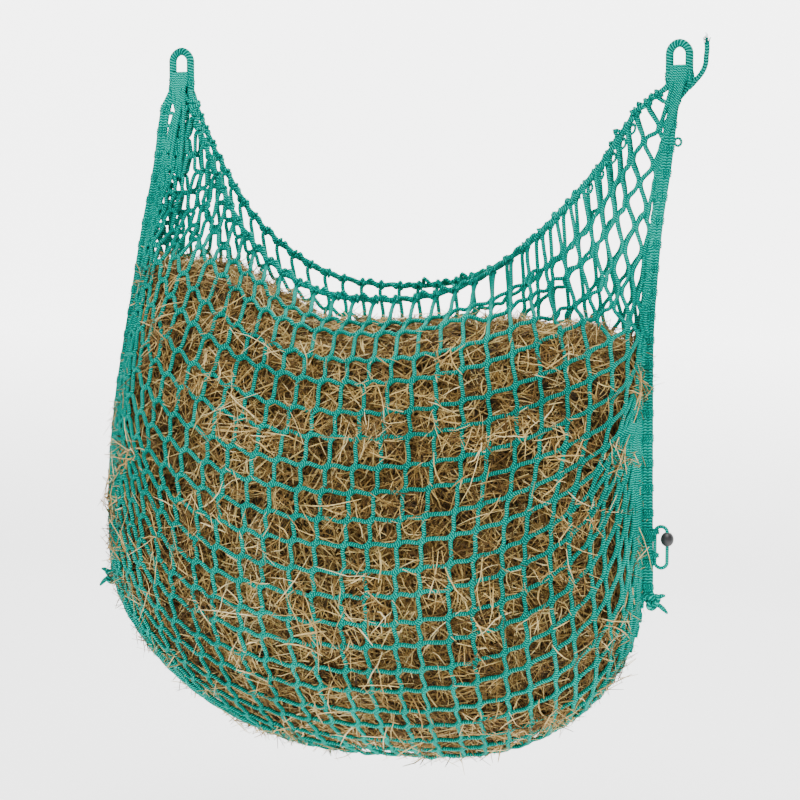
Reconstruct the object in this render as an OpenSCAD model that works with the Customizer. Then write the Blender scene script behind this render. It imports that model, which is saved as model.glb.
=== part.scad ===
// Hay net: a bag of square-mesh netting, hung by its two top corners and filled with hay.
// X runs along the wall to the right, -Y points away from the wall and Z is up.
// The origin is the centre of the left hanging eye.

/* [Bag] */
// Distance between the centres of the two hanging eyes
hang_span = 616; // [510:2:740]
// Height from the eyes down to the fold under the bag
bag_h = 822; // [682:1:990]
// Width across the filled belly, inside the netting
belly_w = 632; // [526:1:760]
// How far the belly stands in front of the side seams
front_reach = 155; // [128:1:188]
// How far the back stands behind the side seams
back_reach = 142; // [116:1:172]
// How far the load pushes the side seams forward
seam_forward = 105; // [80:1:128]
// How far the belly has settled to the left
belly_shift = 36; // [0:1:44]
// Straight stretch left at the fold underneath
fold_w = 120; // [60:1:160]

/* [Mouth] */
// Sag of the front mouth edge below the eyes
front_sag = 288; // [240:1:330]
// Sag of the back mouth edge below the eyes
back_sag = 276; // [230:1:320]
// Width of the loose lip in the middle of the mouth
lip_w = 240; // [180:1:290]
// How far the loose lip reaches down from the mouth edge
lip_depth = 90; // [70:1:110]

/* [Netting] */
// Thickness of the netting
net_t = 5; // [3:0.5:7]
// Space between the hay and the netting
hay_gap = 3; // [1:0.5:5]
// Space between neighbouring panels of netting
panel_gap = 2; // [1:0.5:4]

/* [Ropes] */
// Diameter of the border rope in each side seam
border_d = 11; // [8:0.5:14]
// Length of each side seam, from the eye down to the corner knot
seam_l = 615; // [512:1:740]
// Diameter of the cord in the mouth edge
cord_d = 8; // [5:0.5:10]
// Space between a rope and what it lies beside
rope_gap = 1; // [0.5:0.5:3]
// Diameter of the knot at each bottom corner
knot_d = 22; // [16:1:28]

/* [Hanging eyes] */
// Bore of the hanging eye
eye_bore = 14; // [11:0.5:18]
// Diameter of the rope bent round the eye
eye_rope = 9; // [7:0.5:11]
// Length of the flat wall inside the eye
eye_wall = 8; // [5:0.5:9]
// Length of the two legs below the eye's centre
eye_leg = 36; // [32:1:48]
// Height of the whipping round the legs
whip_h = 12; // [8:1:15]
// Thickness of the whipping
whip_t = 2.5; // [1.5:0.5:4]
// Diameter of the sealed rope end beside the right eye
end_d = 7; // [5:0.5:9]
// Height that the sealed rope end stands above the eye's centre
end_rise = 17; // [10:1:24]

/* [Stopper] */
// Diameter of the twine loop that carries the stopper
loop_d = 4.5; // [3:0.5:5.5]
// Distance between the two legs of the loop
loop_w = 14; // [12:0.5:18]
// Length of the straight legs of the loop
loop_l = 34; // [28:1:44]
// Diameter of the black stopper
stopper_d = 15; // [12:0.5:18]
// Length of the black stopper
stopper_l = 15; // [12:0.5:18]
// Drop of the loop's upper end below the eyes
loop_drop = 540; // [450:1:600]
// Radial clearance of the stopper on its twine
slide_gap = 0.4; // [0.2:0.1:1]

/* [Hay] */
// Drop of the hay's top below the eyes in the middle
hay_top = 318; // [300:1:360]
// How much higher the hay lies at the left
left_rise = 94; // [0:1:105]
// How much higher the hay lies at the right
right_rise = 14; // [0:1:40]
// How much the hay's top crowns above its edge
hay_round = 25; // [10:1:30]

/* [Hidden] */

FRONT = -1;
BACK = 1;
mid_x = hang_span / 2;
// Squareness of the bag's plan outline: 2 is an ellipse
squareness = 2.3;
// Shape of the sagging mouth edge: 2 is a parabola
mouth_power = 2.5;
// Share of the front reach at the mouth edge, and how soon the lip spreads to the full reach
tuck = 0.22;
tuck_fade = 35;
// Drop, as a share of bag_h, at which the underside starts to close, and how round it closes
close_from = 0.72;
close_power = 0.55;
// The top corners of the net start this far inside the eyes
corner_inset = 8;
// Drop at which the netting starts below the eyes
net_from = 66;
// Lowest end of the side seams, as a share of bag_h
seam_share = 0.76;
// How much higher the belly panel reaches at its sides than in the middle
belly_side_rise = 80;
// Centreline radius of the rope round the eye
eye_r = (eye_bore + eye_rope) / 2;
teal = [0.0, 0.62, 0.54];
dark_teal = [0.0, 0.42, 0.37];
pale_teal = [0.55, 0.86, 0.8];
straw = [0.66, 0.56, 0.36];

// Down the bag: share of bag_h, spread of the sides, seam forward, front reach, back reach, shift
profile = [
    [0.00, 0.00, 0.00, 0.00, 0.00, 0.00],
    [0.07, 0.25, 0.03, 0.06, 0.05, 0.36],
    [0.16, 0.30, 0.10, 0.17, 0.13, 0.58],
    [0.24, 0.35, 0.24, 0.35, 0.28, 0.80],
    [0.35, 0.45, 0.48, 0.58, 0.56, 0.94],
    [0.41, 0.55, 0.63, 0.70, 0.68, 0.98],
    [0.50, 0.80, 0.82, 0.83, 0.84, 1.00],
    [0.62, 1.00, 0.97, 0.96, 0.98, 1.00],
    [0.75, 1.00, 1.00, 1.00, 1.00, 0.92],
    [0.86, 1.00, 0.98, 1.00, 1.00, 0.60],
    [1.00, 1.00, 0.88, 1.00, 1.00, 0.20]];
SPREAD = 1;
SEAM = 2;
AHEAD = 3;
BEHIND = 4;
SHIFT = 5;

function mix(a, b, t) = a + (b - a) * t;
function unit(v) = v / norm(v);
function smooth(t) = let(s = min(max(t, 0), 1)) s * s * (3 - 2 * s);

// A smooth curve through one column of the profile, at share u of the height
function slope(i, c) =
    let(a = profile[max(i - 1, 0)], b = profile[min(i + 1, len(profile) - 1)])
    (b[c] - a[c]) / (b[0] - a[0]);
function span_at(u, i = 0) =
    i >= len(profile) - 2 || u < profile[i + 1][0] ? i : span_at(u, i + 1);
function curve(u, c) =
    let(i = span_at(u), a = profile[i], b = profile[i + 1], w = b[0] - a[0], t = (u - a[0]) / w)
    a[c] * (1 + 2 * t) * pow(1 - t, 2) + slope(i, c) * w * t * pow(1 - t, 2)
    + b[c] * t * t * (3 - 2 * t) + slope(i + 1, c) * w * t * t * (t - 1);

// The bag's outline at a drop below the eyes
function closing(drop) =
    let(s = max(drop / bag_h - close_from, 0) / (1 - close_from))
    pow(max(1 - s * s, 0), close_power);
function half_w(drop) =
    let(open = mix(hang_span / 2 - corner_inset, belly_w / 2, curve(drop / bag_h, SPREAD)))
    mix(fold_w / 2, open, closing(drop));
function middle(drop) = mid_x - belly_shift * curve(drop / bag_h, SHIFT);
function seam_y(drop) = -seam_forward * curve(drop / bag_h, SEAM);
function reach(side, drop) =
    closing(drop) * (side == FRONT ? front_reach * curve(drop / bag_h, AHEAD)
        : back_reach * curve(drop / bag_h, BEHIND));
function mouth(side, q) =
    (side == FRONT ? front_sag : back_sag) * (1 - pow(abs(q), mouth_power));
function tucked(side, q, drop) =
    side == BACK ? 1 : 1 - (1 - tuck) * exp(-max(drop - mouth(side, q), 0) / tuck_fade);

// A point of the netting's inner face: q runs from the left seam (-1) to the right seam (1)
function net_point(side, q, drop) =
    let(depth = reach(side, drop) * pow(max(1 - pow(abs(q), squareness), 0), 1 / squareness))
    [middle(drop) + half_w(drop) * q,
     seam_y(drop) + side * (panel_gap / 2 + depth * tucked(side, q, drop)),
     -drop];
function across(a) = sign(a) * pow(abs(sin(a)), 2 / squareness);
function net_normal(side, a, drop) =
    let(right = net_point(side, across(min(a + 0.5, 90)), drop)
            - net_point(side, across(max(a - 0.5, -90)), drop),
        down = net_point(side, across(a), min(drop + 0.5, bag_h))
            - net_point(side, across(a), max(drop - 0.5, 0)))
    side * unit(cross(right, down));
function net_skin(side, a, drop, off) =
    net_point(side, across(a), drop) + off * net_normal(side, a, drop);

// Upper and lower edges of the panels
function panel_top(side, q) = max(mouth(side, q), net_from);
function split(side, q) =
    (side == FRONT ? front_sag : back_sag) + lip_depth - belly_side_rise * q * q;
// Angle on the plan outline at which the lip ends, at x from the middle of the bag
function lip_angle(x) =
    let(q = abs(x) / half_w(front_sag)) sign(x) * asin(pow(q, squareness / 2));

function triangles(a, b, c, d) = [[a, b, c], [a, c, d]];
function flat(lists) = [for (list = lists) each list];
function turned(faces) = [for (f = faces) [for (i = [len(f) - 1:-1:0]) f[i]]];

// A closed sheet of netting between two angles and two edges, given as drops along q.
// share spaces the rows: closer together where the sheet turns under.
even = function(t) t;
under = function(t) sin(90 * t);
module panel(side, a0, a1, top, bottom, cols, rows, share = even) {
    angle = function(i) mix(a0, a1, i / cols);
    drop = function(i, j) let(q = across(angle(i))) mix(top(q), bottom(q), share(j / rows));
    layer = function(off) [for (j = [0:rows]) for (i = [0:cols])
        net_skin(side, angle(i), drop(i, j), off)];
    n = (cols + 1) * (rows + 1);
    at = function(i, j) j * (cols + 1) + i;
    sheet = flat([for (j = [0:rows - 1]) for (i = [0:cols - 1]) concat(
        triangles(n + at(i, j), n + at(i + 1, j), n + at(i + 1, j + 1), n + at(i, j + 1)),
        triangles(at(i, j + 1), at(i + 1, j + 1), at(i + 1, j), at(i, j)))]);
    ends = flat([for (i = [0:cols - 1]) concat(
        triangles(n + at(i + 1, 0), n + at(i, 0), at(i, 0), at(i + 1, 0)),
        triangles(n + at(i, rows), n + at(i + 1, rows), at(i + 1, rows), at(i, rows)))]);
    sides = flat([for (j = [0:rows - 1]) concat(
        triangles(n + at(0, j), n + at(0, j + 1), at(0, j + 1), at(0, j)),
        triangles(n + at(cols, j + 1), n + at(cols, j), at(cols, j), at(cols, j + 1)))]);
    faces = concat(sheet, ends, sides);
    polyhedron(concat(layer(0), layer(net_t)), side == FRONT ? faces : turned(faces),
        convexity = 6);
}

// A round rope along a path that lies mostly in an upright plane facing Y
module rope(path, d, facets = 10) {
    last = len(path) - 1;
    tangent = function(i) unit(path[min(i + 1, last)] - path[max(i - 1, 0)]);
    ring = function(i)
        let(t = tangent(i), u = unit(cross(t, [0, 1, 0])), v = cross(t, u))
        [for (k = [0:facets - 1])
            path[i] + d / 2 * (cos(360 * k / facets) * u + sin(360 * k / facets) * v)];
    at = function(i, k) i * facets + k % facets;
    walls = flat([for (i = [0:last - 1]) for (k = [0:facets - 1])
        triangles(at(i, k), at(i + 1, k), at(i + 1, k + 1), at(i, k + 1))]);
    caps = [[for (k = [0:facets - 1]) k], [for (k = [facets - 1:-1:0]) at(last, k)]];
    polyhedron(flat([for (i = [0:last]) ring(i)]), concat(walls, caps), convexity = 6);
}

// Columns of facets across the belly, the same for the hay and for the netting over it
belly_cols = 30;

// Hay ------------------------------------------------------------------
hay_rows = 26;
hay_cap_rows = 5;
function hay_drop(q) =
    hay_top - left_rise * smooth((-q - 0.15) / 0.65) - right_rise * smooth((q - 0.1) / 0.5);
function hay_rim_angle(i) =
    i <= belly_cols ? mix(-90, 90, i / belly_cols) : mix(90, -90, (i - belly_cols - 1) / belly_cols);
function hay_side(i) = i <= belly_cols ? FRONT : BACK;
function hay_point(i, j) =
    let(a = hay_rim_angle(i), q = across(a), lowest = bag_h * 0.992)
    net_skin(hay_side(i), a, mix(hay_drop(q) + hay_round, lowest, under(j / hay_rows)),
        -hay_gap);
function hay_cap_point(i, s) =
    let(rim = hay_point(i, 0), q = across(hay_rim_angle(i)), d = hay_top + hay_round,
        c = [middle(d), seam_y(d)])
    [mix(c[0], rim[0], s), mix(c[1], rim[1], s),
     -hay_drop(q * s) - hay_round * s * s];

module hay_load() {
    around = 2 * (belly_cols + 1);
    cap = flat([for (j = [1:hay_cap_rows]) [for (i = [0:around - 1])
        hay_cap_point(i, sin(90 * j / (hay_cap_rows + 1)))]]);
    body = flat([for (j = [0:hay_rows]) [for (i = [0:around - 1]) hay_point(i, j)]]);
    levels = hay_cap_rows + hay_rows + 1;
    top_point = hay_cap_point(0, 0);
    low_point = [middle(bag_h), seam_y(bag_h), -bag_h + hay_gap];
    at = function(i, j) j * around + i % around;
    top_i = levels * around;
    walls = flat([for (j = [0:levels - 2]) for (i = [0:around - 1])
        triangles(at(i, j), at(i + 1, j), at(i + 1, j + 1), at(i, j + 1))]);
    top_fan = [for (i = [0:around - 1]) [top_i, at(i + 1, 0), at(i, 0)]];
    low_fan = [for (i = [0:around - 1]) [top_i + 1, at(i, levels - 1), at(i + 1, levels - 1)]];
    color(straw)
        polyhedron(concat(cap, body, [top_point, low_point]), concat(walls, top_fan, low_fan),
            convexity = 4);
}

// Netting --------------------------------------------------------------
// Angle that leaves half the panel gap at a lip's cut, on the side given by s
function cut_angle(s, away) = lip_angle(s * (lip_w / 2 + away * panel_gap / 2));

module belly(side) {
    color(teal) panel(side, -90, 90, function(q) split(side, q) + panel_gap,
        function(q) bag_h, belly_cols, 24, under);
}

module wing(side, s) {
    inner = cut_angle(s, 1);
    color(teal) panel(side, min(inner, 90 * s), max(inner, 90 * s),
        function(q) panel_top(side, q), function(q) split(side, q), 12, 14);
}

module lip(side) {
    color(teal) panel(side, cut_angle(-1, -1), cut_angle(1, -1),
        function(q) panel_top(side, q), function(q) split(side, q) - hinge_gap(side), 12, 10);
}
// The swinging front lip needs room below its hinge line
function hinge_gap(side) = side == FRONT ? net_t : panel_gap;

module net_front_belly() { belly(FRONT); }
module net_back_belly() { belly(BACK); }
module net_front_wing_left() { wing(FRONT, -1); }
module net_front_wing_right() { wing(FRONT, 1); }
module net_back_wing_left() { wing(BACK, -1); }
module net_back_wing_right() { wing(BACK, 1); }
module net_front_lip() { lip(FRONT); }
module net_back_lip() { lip(BACK); }

// Ropes ----------------------------------------------------------------
function side_x(s, drop) = middle(drop) + s * half_w(drop);
// How much further the rope stands along X where the side of the net slants
function slanted(s, drop) = norm([side_x(s, drop + 0.5) - side_x(s, drop - 0.5), 1]);
function border_point(s, drop) =
    [side_x(s, drop) + s * slanted(s, drop) * (net_t + rope_gap + border_d / 2), seam_y(drop), -drop];
// Drop at which the border rope reaches the edge of the netting
function border_top(s) = [mid_x + s * (hang_span / 2 + eye_r), 0, -eye_leg - rope_gap];
border_from = net_from - border_d;
// The seams end above the part of the bag that turns under
border_to = min(seam_l, seam_share * bag_h);
border_rings = 40;

module border_rope(s) {
    path = concat([border_top(s), border_top(s) - [0, 0, border_d / 2]],
        [for (i = [0:border_rings]) border_point(s, mix(border_from, border_to, i / border_rings))]);
    color(teal) rope(path, border_d);
}
module border_rope_left() { border_rope(-1); }
module border_rope_right() { border_rope(1); }

// The cord lies along the mouth edge of a panel, clear of the cord of the other side
function cord_off() = max(net_t / 2, (cord_d + rope_gap - panel_gap) / 2);
function cord_point(side, a) =
    let(q = across(a), q1 = across(a + 0.5), q0 = across(a - 0.5),
        along = unit(net_point(side, q1, mouth(side, q1)) - net_point(side, q0, mouth(side, q0))),
        out = net_normal(side, a, mouth(side, q)),
        up = side * unit(cross(along, out)))
    net_skin(side, a, mouth(side, q), cord_off()) + (cord_d / 2 + rope_gap) * up;
function cord_top(side, s) =
    [mid_x + s * (hang_span / 2 - eye_r), side * (cord_d + rope_gap) / 2, -eye_leg - rope_gap];
function cord_start(side, s) = [cord_top(side, s), cord_top(side, s) - [0, 0, cord_d / 2]];
// Angle at which the mouth edge passes the drop where the netting starts
function start_angle(side) =
    let(sag = side == FRONT ? front_sag : back_sag)
    asin(pow(pow(1 - net_from / sag, 1 / mouth_power), squareness / 2));

module front_cord(s) {
    a0 = s * start_angle(FRONT);
    a1 = cut_angle(s, 1);
    path = concat(cord_start(FRONT, s), [for (i = [0:18]) cord_point(FRONT, mix(a0, a1, i / 18))]);
    color(dark_teal) rope(path, cord_d, 8);
}
module mouth_cord_front_left() { front_cord(-1); }
module mouth_cord_front_right() { front_cord(1); }
module mouth_cord_front_lip() {
    color(dark_teal) rope([for (i = [0:12])
        cord_point(FRONT, mix(cut_angle(-1, -1), cut_angle(1, -1), i / 12))], cord_d, 8);
}
module mouth_cord_back() {
    a0 = start_angle(BACK);
    left = cord_start(BACK, -1);
    right = cord_start(BACK, 1);
    color(dark_teal) rope(concat(left,
        [for (i = [0:48]) cord_point(BACK, mix(-a0, a0, i / 48))], [right[1], right[0]]),
        cord_d, 8);
}

// A knot closes each bottom corner, with two cut tips
module corner_knot(s) {
    end = border_point(s, border_to) + [s * (knot_d - border_d) / 2, 0, -knot_d / 2 - 2 * rope_gap];
    tip_d = knot_d / 4;
    color(teal) translate(end) rotate([0, 0, s > 0 ? 180 : 0]) {
        sphere(d = knot_d, $fn = 40);
        for (turn = [50, 115]) rotate([0, -turn, 0])
            cylinder(h = knot_d * 0.9, d1 = tip_d * 1.4, d2 = tip_d, $fn = 24);
    }
}
module corner_knot_left() { corner_knot(-1); }
module corner_knot_right() { corner_knot(1); }

// Hanging eyes ---------------------------------------------------------
module eye_profile() {
    translate([eye_r, 0]) circle(d = eye_rope, $fn = 48);
    translate([eye_bore / 2, -eye_wall / 2]) square([eye_rope / 2, eye_wall]);
}
module eye_legs(d, from, to) {
    for (s = [-1, 1]) translate([s * eye_r, 0, -to]) cylinder(h = to - from, d = d, $fn = 48);
}
module hanging_eye(s) {
    color(teal) translate([mid_x + s * hang_span / 2, 0, 0]) {
        rotate([90, 0, 0]) rotate_extrude($fn = 96) eye_profile();
        difference() {
            eye_legs(eye_rope, 0, eye_leg);
            rotate([90, 0, 0]) cylinder(h = 2 * eye_rope, r = eye_r, center = true, $fn = 96);
        }
    }
}
module hanging_eye_left() { hanging_eye(-1); }
module hanging_eye_right() { hanging_eye(1); }

// The whipping binds the two legs together just under the eye
module whip_block(d, h) {
    eye_legs(d, 0, h);
    translate([-eye_r, -d / 2, -h]) cube([2 * eye_r, d, h]);
}
module whipping(s) {
    top = eye_r + eye_rope / 2 + rope_gap;
    inner = eye_rope + rope_gap;
    color(dark_teal) translate([mid_x + s * hang_span / 2, 0, -top]) difference() {
        whip_block(inner + 2 * whip_t, whip_h);
        translate([0, 0, whip_t]) whip_block(inner, whip_h + 2 * whip_t);
    }
}
module whipping_left() { whipping(-1); }
module whipping_right() { whipping(1); }

// The end of the border rope, cut and melted, stands up beside the right eye
module sealed_rope_end() {
    clear = eye_r + eye_rope / 2 + rope_gap + end_d / 2;
    side = max(clear, eye_r + eye_rope / 2 + rope_gap + whip_t + end_d / 2);
    low = eye_r + eye_rope / 2;
    color(pale_teal) translate([mid_x + hang_span / 2 + side, 0, -low]) {
        cylinder(h = low + end_rise - end_d / 2, d = end_d, $fn = 32);
        translate([0, 0, low + end_rise - end_d / 2]) sphere(d = end_d * 1.15, $fn = 32);
    }
}

// Small things on the right seam ----------------------------------------
seam_loop_drop = 102;
seam_loop_r = 4;
seam_loop_d = 3.5;
module seam_loop_right() {
    at = border_point(1, seam_loop_drop);
    color(teal)
        translate(at + [border_d / 2 + rope_gap + seam_loop_r + seam_loop_d / 2, 0, 0])
        rotate([90, 0, 0]) rotate_extrude($fn = 48)
        translate([seam_loop_r, 0]) circle(d = seam_loop_d, $fn = 24);
}

// The loop hangs beside the seam and the stopper is threaded on its outer leg
loop_h = loop_w + loop_l + loop_d;
loop_at = min(loop_drop, border_to - loop_h - knot_d / 2);
function loop_x() = border_point(1, loop_at)[0] + border_d / 2 + rope_gap + loop_d / 2;
module loop_end(up) {
    rotate([90, 0, 0]) rotate_extrude(angle = up ? 180 : -180, $fn = 64)
        translate([loop_w / 2, 0]) circle(d = loop_d, $fn = 32);
}
module stopper_loop() {
    color(teal) translate([loop_x(), seam_y(loop_at), -loop_at - loop_w / 2]) {
        for (x = [0, loop_w]) translate([x, 0, -loop_l]) cylinder(h = loop_l, d = loop_d, $fn = 32);
        translate([loop_w / 2, 0, 0]) loop_end(true);
        translate([loop_w / 2, 0, -loop_l]) loop_end(false);
    }
}
module stopper() {
    color([0.03, 0.03, 0.03])
        translate([loop_x() + loop_w, seam_y(loop_at), -loop_at - loop_w / 2 - stopper_l])
        rotate_extrude($fn = 64) difference() {
            intersection() {
                translate([0, stopper_l / 2]) scale([1, 1.15]) circle(d = stopper_d, $fn = 64);
                square([stopper_d, stopper_l]);
            }
            square([loop_d / 2 + slide_gap, stopper_l]);
        }
}

hay_load();
net_front_belly();
net_front_wing_left();
net_front_wing_right();
net_front_lip();
net_back_belly();
net_back_wing_left();
net_back_wing_right();
net_back_lip();
border_rope_left();
border_rope_right();
mouth_cord_front_left();
mouth_cord_front_right();
mouth_cord_front_lip();
mouth_cord_back();
hanging_eye_left();
hanging_eye_right();
whipping_left();
whipping_right();
sealed_rope_end();
corner_knot_left();
corner_knot_right();
seam_loop_right();
stopper_loop();
stopper();
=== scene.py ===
import math
import bpy
import numpy as np
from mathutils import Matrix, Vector, noise


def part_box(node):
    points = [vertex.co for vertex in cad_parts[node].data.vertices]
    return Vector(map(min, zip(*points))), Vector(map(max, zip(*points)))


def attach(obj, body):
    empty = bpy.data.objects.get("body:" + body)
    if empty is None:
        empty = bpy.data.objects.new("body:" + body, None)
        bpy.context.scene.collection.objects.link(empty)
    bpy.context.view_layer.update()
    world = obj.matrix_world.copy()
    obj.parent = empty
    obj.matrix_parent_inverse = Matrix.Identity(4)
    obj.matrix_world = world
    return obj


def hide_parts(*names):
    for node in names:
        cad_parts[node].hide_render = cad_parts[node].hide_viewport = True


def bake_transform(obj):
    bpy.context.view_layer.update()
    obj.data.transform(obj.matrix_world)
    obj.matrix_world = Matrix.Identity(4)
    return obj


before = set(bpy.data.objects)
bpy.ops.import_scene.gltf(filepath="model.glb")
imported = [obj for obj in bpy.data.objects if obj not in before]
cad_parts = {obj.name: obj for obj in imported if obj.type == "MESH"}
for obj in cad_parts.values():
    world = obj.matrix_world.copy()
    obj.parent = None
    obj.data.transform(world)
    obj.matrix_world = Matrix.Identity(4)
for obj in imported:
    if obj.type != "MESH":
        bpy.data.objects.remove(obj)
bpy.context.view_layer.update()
scene = bpy.context.scene
print("frame loaded:", len(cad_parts), "solids")

# ---- camera and studio ----
shot = {"azimuth": 15, "elevation": 5.5, "distance": 2.6, "lens": 98.5, "aim": (0.298, -0.07, -0.406),
        "key": 112, "fill": 2, "rim": 45, "world": 0.22, "backdrop": 4.0}


def placeCamera():
    turn, rise = math.radians(shot["azimuth"]), math.radians(shot["elevation"])
    away = Vector((math.sin(turn) * math.cos(rise), -math.cos(turn) * math.cos(rise), math.sin(rise)))
    camera = bpy.data.objects.new("camera", bpy.data.cameras.new("camera"))
    scene.collection.objects.link(camera)
    camera.data.lens = shot["lens"]
    camera.location = Vector(shot["aim"]) + away * shot["distance"]
    camera.rotation_euler = (-away).to_track_quat("-Z", "Y").to_euler()
    camera.data.clip_start, camera.data.clip_end = 0.05, 60
    scene.camera = camera


def addLight(name, place, size, power):
    light = bpy.data.lights.new(name, "AREA")
    light.size, light.energy = size, power
    lamp = bpy.data.objects.new(name, light)
    scene.collection.objects.link(lamp)
    lamp.location = place
    lamp.rotation_euler = (Vector(shot["aim"]) - Vector(place)).to_track_quat("-Z", "Y").to_euler()


placeCamera()
addLight("keyLight", (0.55, -1.45, 2.0), 1.1, shot["key"])
addLight("fillLight", (2.2, -1.6, 0.5), 1.8, shot["fill"])
addLight("topLight", (0.3, 0.9, 1.6), 1.4, shot["rim"])


# ---- shader and geometry node sums, written as Python expressions ----
class Wire:
    def __init__(self, tree, socket=None):
        self.tree, self.socket = tree, socket

    def node(self, kind, settings=None, sockets=None, output=0):
        made = self.tree.nodes.new(kind)
        for name, value in (settings or {}).items():
            if name == "stops":  # a colour ramp's stops: (place, colour)
                ramp = made.color_ramp
                while len(ramp.elements) < len(value):
                    ramp.elements.new(0.5)
                for element, (place, colour) in zip(ramp.elements, value):
                    element.position, element.color = place, (*colour, 1)
            else:
                setattr(made, name, value)
        for name, value in (sockets or {}).items():
            if isinstance(value, Wire):
                self.tree.links.new(value.socket, made.inputs[name])
            else:
                made.inputs[name].default_value = value
        return Wire(self.tree, made.outputs[output])

    def sum(self, operation, first, second=0.0):
        return self.node("ShaderNodeMath", {"operation": operation}, {0: first, 1: second})

    def __add__(self, other):
        return self.sum("ADD", self, other)

    def __radd__(self, other):
        return self.sum("ADD", other, self)

    def __sub__(self, other):
        return self.sum("SUBTRACT", self, other)

    def __rsub__(self, other):
        return self.sum("SUBTRACT", other, self)

    def __mul__(self, other):
        return self.sum("MULTIPLY", self, other)

    def __rmul__(self, other):
        return self.sum("MULTIPLY", other, self)

    def sine(self):
        return self.sum("SINE", self)

    def size(self):
        return self.sum("ABSOLUTE", self)

    def place(self):
        return self.node("ShaderNodeTexCoord", output="Object")

    def attribute(self, name):
        return self.node("ShaderNodeAttribute", {"attribute_name": name}, output="Fac")

    def grain(self, scale, detail=2.0, rough=0.5):
        return self.node("ShaderNodeTexNoise", {}, {"Vector": self.place(), "Scale": scale,
                         "Detail": detail, "Roughness": rough}, "Fac")

    def ramp(self, stops):
        return self.node("ShaderNodeValToRGB", {"stops": stops}, {"Fac": self}, "Color")

    def bump(self, distance):
        return self.node("ShaderNodeBump", {}, {"Height": self, "Distance": distance, "Strength": 1.0}, "Normal")


def newMaterial(name, recipe):
    material = bpy.data.materials.new(name)
    material.use_nodes = True
    tree = material.node_tree
    shader = tree.nodes["Principled BSDF"]
    for socket, value in recipe(Wire(tree)).items():
        if isinstance(value, Wire):
            tree.links.new(value.socket, shader.inputs[socket])
        else:
            shader.inputs[socket].default_value = value
    return material


# The darkest colour is painted shade in the grooves between the knit ribs; the palest is a painted highlight on the
# rib crests, mixed with paler random patches.
yarn = {"chevron": 0.0027, "slant": 2.2, "ribDepth": 0.0014,
        "deep": (0.0, 0.06, 0.048), "body": (0.0, 0.36, 0.27), "highlightAndWear": (0.0, 0.84, 0.66)}


def knitRecipe(deep, body, highlightAndWear, pitch=yarn["chevron"], depth=yarn["ribDepth"]):
    def recipe(w):
        ribs = (w.attribute("along") * (2 * math.pi / pitch) + w.attribute("side") * yarn["slant"]).sine()
        patch = w.grain(7.0, 3.0)
        fuzz = w.grain(900.0, 2.0, 0.7)
        # The ribs lighten the colour on their crests and darken it in their grooves: painted highlight and painted
        # shade; the noise adds random tone.
        shade = 0.5 + 0.34 * ribs + (patch - 0.5) * 0.8 + (fuzz - 0.5) * 0.4
        colour = shade.ramp([(0.0, deep), (0.5, body), (1.0, highlightAndWear)])
        return {"Base Color": colour, "Roughness": 0.72 + (fuzz - 0.5) * 0.2, "Specular IOR Level": 0.06,
                "Normal": (ribs + fuzz * 0.6).bump(depth)}
    return recipe


twineFinish = newMaterial("netTwine", knitRecipe(yarn["deep"], yarn["body"], yarn["highlightAndWear"]))
# The mouth cord and the border rope use the same ramp: their darkest colour is painted shade in the rib grooves,
# their palest a painted highlight on the crests with paler random patches.
cordFinish = newMaterial("mouthCord", knitRecipe((0.0, 0.05, 0.04), (0.0, 0.34, 0.26), (0.0, 0.84, 0.67)))
borderFinish = newMaterial("borderRope", knitRecipe((0.0, 0.05, 0.04), (0.0, 0.33, 0.25),
                           (0.0, 0.78, 0.62), 0.0034, 0.0020))


def strawRecipe(w):
    tone = w.attribute("tone")
    patch = w.grain(9.0, 3.0)
    streak = w.grain(160.0, 2.0, 0.6)
    colour = (tone * 0.72 + (patch - 0.5) * 0.5 + (streak - 0.5) * 0.3 + 0.1).ramp([
        (0.0, (0.022, 0.010, 0.002)), (0.3, (0.12, 0.062, 0.013)), (0.55, (0.33, 0.20, 0.052)),
        (0.78, (0.66, 0.47, 0.17)), (1.0, (0.98, 0.84, 0.48))])
    return {"Base Color": colour, "Roughness": 0.7 - tone * 0.15, "Specular IOR Level": 0.3,
            "Normal": streak.bump(0.0006)}


# The core shows between the stalks in near-black browns: painted shade in the gaps of the hay.
def hayGapShadeRecipe(w):
    clump = w.grain(34.0, 5.0, 0.65)
    fibre = w.grain(240.0, 3.0, 0.7)
    colour = (clump * 0.7 + fibre * 0.5 - 0.2).ramp([(0.0, (0.006, 0.004, 0.002)),
             (0.5, (0.05, 0.033, 0.012)), (1.0, (0.17, 0.115, 0.045))])
    return {"Base Color": colour, "Roughness": 0.9, "Normal": (clump + fibre * 0.6).bump(0.01)}


strawFinish = newMaterial("hayStalks", strawRecipe)
gapShadeFinish = newMaterial("hayInside", hayGapShadeRecipe)


# ---- the bag's surface, the same rule as the solid parts ----
bag = {"span": 0.616, "height": 0.822, "belly": 0.632, "front": 0.155, "back": 0.142,
       "forward": 0.105, "shift": 0.036, "fold": 0.12, "sag": (0.288, 0.276), "inset": 0.008,
       "square": 2.3, "mouthPower": 2.5, "tuck": 0.22, "tuckFade": 0.035, "closeFrom": 0.72,
       "closePower": 0.55, "hayTop": 0.318, "leftRise": 0.094, "rightRise": 0.014, "seam": 0.615}
profile = np.array([
    [0.00, 0.00, 0.00, 0.00, 0.00, 0.00], [0.07, 0.25, 0.03, 0.06, 0.05, 0.36],
    [0.16, 0.30, 0.10, 0.17, 0.13, 0.58], [0.24, 0.35, 0.24, 0.35, 0.28, 0.80],
    [0.35, 0.45, 0.48, 0.58, 0.56, 0.94], [0.41, 0.55, 0.63, 0.70, 0.68, 0.98],
    [0.50, 0.80, 0.82, 0.83, 0.84, 1.00], [0.62, 1.00, 0.97, 0.96, 0.98, 1.00],
    [0.75, 1.00, 1.00, 1.00, 1.00, 0.92], [0.86, 1.00, 0.98, 1.00, 1.00, 0.60],
    [1.00, 1.00, 0.88, 1.00, 1.00, 0.20]])  # height share: spread, seam, ahead, behind, shift
midX = bag["span"] / 2


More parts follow.
